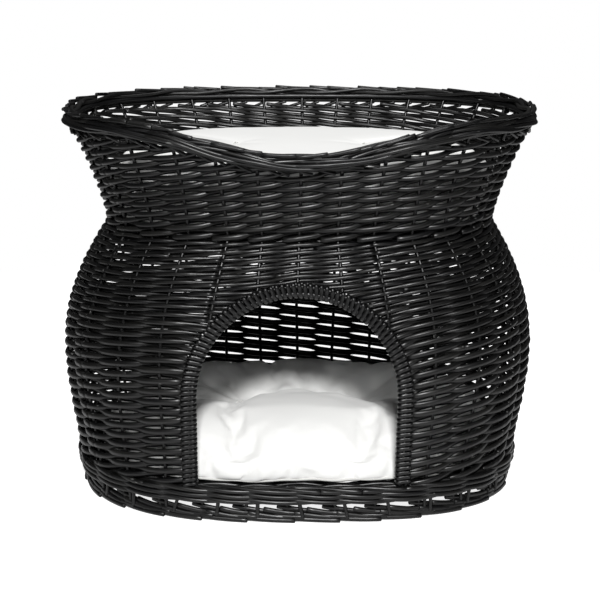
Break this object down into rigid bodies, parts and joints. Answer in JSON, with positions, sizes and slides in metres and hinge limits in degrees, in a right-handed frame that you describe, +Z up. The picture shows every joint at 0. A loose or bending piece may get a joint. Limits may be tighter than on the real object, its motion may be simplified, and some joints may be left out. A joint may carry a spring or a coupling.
{
  "type": "wicker pet basket",
  "caption": "Two-level wicker pet basket: a woven cave with an arched door and cushion below, and an open flared bed with a cushion on top.",
  "frame": {"origin": "middle of the floor print, on the floor", "axes": "+Z up, +X to the right seen from the door, the door looks along -Y"},
  "size_m": [0.5386, 0.3761, 0.434],
  "materials": {
    "black_willow": "black lacquered willow rods, semi-gloss",
    "cushion_cotton": "off-white brushed cotton, soft and matte",
    "cushion_seam": "off-white cotton piping and tuft thread, matte"
  },
  "bodies": {
    "basket": {"foot_border": "black_willow", "foot_stake_tips": "black_willow", "foot_wale_lower": "black_willow", "foot_wale_middle": "black_willow", "foot_wale_upper": "black_willow", "base_long_sticks": "black_willow", "base_cross_sticks": "black_willow", "base_weave": "black_willow", "stakes_left": "black_willow", "stakes_right": "black_willow", "stakes_back": "black_willow", "stakes_front": "black_willow", "stakes_over_door": "black_willow", "cave_weave_left": "black_willow", "cave_weave_right": "black_willow", "cave_weave_back": "black_willow", "cave_weave_front_left": "black_willow", "cave_weave_front_right": "black_willow", "cave_weave_over_door": "black_willow", "door_hoop_outer": "black_willow", "door_hoop_inner": "black_willow", "door_wrap": "black_willow", "shelf_frame": "black_willow", "shelf_long_sticks": "black_willow", "shelf_cross_sticks": "black_willow", "shelf_weave": "black_willow", "bed_weave_left": "black_willow", "bed_weave_right": "black_willow", "bed_weave_back": "black_willow", "bed_weave_front": "black_willow", "rim_border": "black_willow", "rim_stake_tips": "black_willow"},
    "upper_cushion_body": {"upper_cushion": "cushion_cotton", "upper_cushion_piping": "cushion_seam", "upper_cushion_tufts": "cushion_seam"},
    "lower_cushion_body": {"lower_cushion": "cushion_cotton", "lower_cushion_piping": "cushion_seam", "lower_cushion_tufts": "cushion_seam"}
  },
  "joints": [
    {"name": "upper_cushion_lift", "type": "slide", "parent": "basket", "child": "upper_cushion_body", "axis": [0, 0, 1], "range_m": [0, 0.2]},
    {"name": "lower_cushion_lift", "type": "slide", "parent": "basket", "child": "lower_cushion_body", "axis": [0, 0, 1], "range_m": [0, 0.15]}
  ]
}
